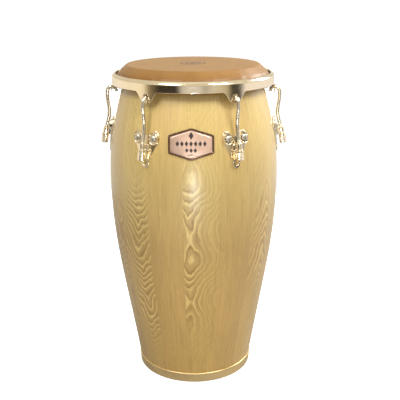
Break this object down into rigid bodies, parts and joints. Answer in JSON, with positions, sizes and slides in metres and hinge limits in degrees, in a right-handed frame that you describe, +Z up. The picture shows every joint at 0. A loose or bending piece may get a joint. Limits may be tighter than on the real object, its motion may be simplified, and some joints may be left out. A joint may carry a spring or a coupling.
{
  "type": "conga drum",
  "caption": "Tall barrel-shaped hand drum of glued wooden staves with a hide head under a metal rim, drawn down by hooked rods and nuts at side plates; open at the foot.",
  "frame": {"origin": "on the drum's axis at the floor, under its foot", "axes": "+Z up along the drum's axis; -Y is the front, where the badge is; +X is to the right seen from the front"},
  "size_m": [0.4166, 0.3772, 0.7112],
  "materials": {
    "shell_wood": "satin lacquer over pale ash with strong grain",
    "hide": "smooth natural rawhide",
    "gold_plate": "polished champagne-gold plate on steel",
    "zinc_steel": "zinc-plated steel",
    "badge_plate": "satin rose-gold plate",
    "rubber": "matte black"
  },
  "bodies": {
    "shell": {"stave_01": "shell_wood", "stave_02": "shell_wood", "stave_03": "shell_wood", "stave_04": "shell_wood", "stave_05": "shell_wood", "stave_06": "shell_wood", "stave_07": "shell_wood", "stave_08": "shell_wood", "stave_09": "shell_wood", "stave_10": "shell_wood", "stave_11": "shell_wood", "stave_12": "shell_wood", "stave_13": "shell_wood", "stave_14": "shell_wood", "stave_15": "shell_wood", "foot_band": "gold_plate", "foot_rubber": "rubber", "badge": "badge_plate", "side_plate_1": "gold_plate", "bolt_1a": "zinc_steel", "bolt_1b": "zinc_steel", "backing_plate_1": "zinc_steel", "side_plate_2": "gold_plate", "bolt_2a": "zinc_steel", "bolt_2b": "zinc_steel", "backing_plate_2": "zinc_steel", "side_plate_3": "gold_plate", "bolt_3a": "zinc_steel", "bolt_3b": "zinc_steel", "backing_plate_3": "zinc_steel", "side_plate_4": "gold_plate", "bolt_4a": "zinc_steel", "bolt_4b": "zinc_steel", "backing_plate_4": "zinc_steel", "side_plate_5": "gold_plate", "bolt_5a": "zinc_steel", "bolt_5b": "zinc_steel", "backing_plate_5": "zinc_steel", "side_plate_6": "gold_plate", "bolt_6a": "zinc_steel", "bolt_6b": "zinc_steel", "backing_plate_6": "zinc_steel"},
    "head": {"head_skin": "hide", "rim": "gold_plate", "flesh_ring": "zinc_steel"},
    "hook_body_1": {"hook_1": "gold_plate"},
    "nut_body_1": {"tuning_nut_1": "gold_plate"},
    "hook_body_2": {"hook_2": "gold_plate"},
    "nut_body_2": {"tuning_nut_2": "gold_plate"},
    "hook_body_3": {"hook_3": "gold_plate"},
    "nut_body_3": {"tuning_nut_3": "gold_plate"},
    "hook_body_4": {"hook_4": "gold_plate"},
    "nut_body_4": {"tuning_nut_4": "gold_plate"},
    "hook_body_5": {"hook_5": "gold_plate"},
    "nut_body_5": {"tuning_nut_5": "gold_plate"},
    "hook_body_6": {"hook_6": "gold_plate"},
    "nut_body_6": {"tuning_nut_6": "gold_plate"}
  },
  "joints": [
    {"name": "head_travel", "type": "slide", "parent": "shell", "child": "head", "axis": [0, 0, 1], "range_m": [0, 0.01]},
    {"name": "hook_tilt_1", "type": "hinge", "parent": "head", "child": "hook_body_1", "pos_m": [-0.09454, -0.15129, 0.661], "axis": [0.848, -0.5299, 0], "range_deg": [-0.5, 1.38]},
    {"name": "nut_turn_1", "type": "hinge", "parent": "shell", "child": "nut_body_1", "pos_m": [-0.10609, -0.16979, 0.54487], "axis": [-0.0971, -0.1554, -0.9831], "range_deg": [0, 2837]},
    {"name": "hook_tilt_2", "type": "hinge", "parent": "head", "child": "hook_body_2", "pos_m": [0.08375, -0.15752, 0.661], "axis": [0.8829, 0.4695, 0], "range_deg": [-0.5, 1.38]},
    {"name": "nut_turn_2", "type": "hinge", "parent": "shell", "child": "nut_body_2", "pos_m": [0.09399, -0.17677, 0.54487], "axis": [0.086, -0.1618, -0.9831], "range_deg": [0, 2837]},
    {"name": "hook_tilt_3", "type": "hinge", "parent": "head", "child": "hook_body_3", "pos_m": [0.17829, -0.00623, 0.661], "axis": [0.0349, 0.9994, 0], "range_deg": [-0.5, 1.38]},
    {"name": "nut_turn_3", "type": "hinge", "parent": "shell", "child": "nut_body_3", "pos_m": [0.20009, -0.00699, 0.54487], "axis": [0.1831, -0.0064, -0.9831], "range_deg": [0, 2837]},
    {"name": "hook_tilt_4", "type": "hinge", "parent": "head", "child": "hook_body_4", "pos_m": [0.09454, 0.15129, 0.661], "axis": [-0.848, 0.5299, 0], "range_deg": [-0.5, 1.38]},
    {"name": "nut_turn_4", "type": "hinge", "parent": "shell", "child": "nut_body_4", "pos_m": [0.10609, 0.16979, 0.54487], "axis": [0.0971, 0.1554, -0.9831], "range_deg": [0, 2837]},
    {"name": "hook_tilt_5", "type": "hinge", "parent": "head", "child": "hook_body_5", "pos_m": [-0.08375, 0.15752, 0.661], "axis": [-0.8829, -0.4695, 0], "range_deg": [-0.5, 1.38]},
    {"name": "nut_turn_5", "type": "hinge", "parent": "shell", "child": "nut_body_5", "pos_m": [-0.09399, 0.17677, 0.54487], "axis": [-0.086, 0.1618, -0.9831], "range_deg": [0, 2837]},
    {"name": "hook_tilt_6", "type": "hinge", "parent": "head", "child": "hook_body_6", "pos_m": [-0.17829, 0.00623, 0.661], "axis": [-0.0349, -0.9994, 0], "range_deg": [-0.5, 1.38]},
    {"name": "nut_turn_6", "type": "hinge", "parent": "shell", "child": "nut_body_6", "pos_m": [-0.20009, 0.00699, 0.54487], "axis": [-0.1831, 0.0064, -0.9831], "range_deg": [0, 2837]}
  ],
  "couplings": [
    {"joint": "hook_tilt_1", "follows": "head_travel", "rad_per_m": 1.5288},
    {"joint": "nut_turn_1", "follows": "head_travel", "rad_per_m": 4941.4},
    {"joint": "hook_tilt_2", "follows": "head_travel", "rad_per_m": 1.5288},
    {"joint": "nut_turn_2", "follows": "head_travel", "rad_per_m": 4941.4},
    {"joint": "hook_tilt_3", "follows": "head_travel", "rad_per_m": 1.5288},
    {"joint": "nut_turn_3", "follows": "head_travel", "rad_per_m": 4941.4},
    {"joint": "hook_tilt_4", "follows": "head_travel", "rad_per_m": 1.5288},
    {"joint": "nut_turn_4", "follows": "head_travel", "rad_per_m": 4941.4},
    {"joint": "hook_tilt_5", "follows": "head_travel", "rad_per_m": 1.5288},
    {"joint": "nut_turn_5", "follows": "head_travel", "rad_per_m": 4941.4},
    {"joint": "hook_tilt_6", "follows": "head_travel", "rad_per_m": 1.5288},
    {"joint": "nut_turn_6", "follows": "head_travel", "rad_per_m": 4941.4}
  ]
}
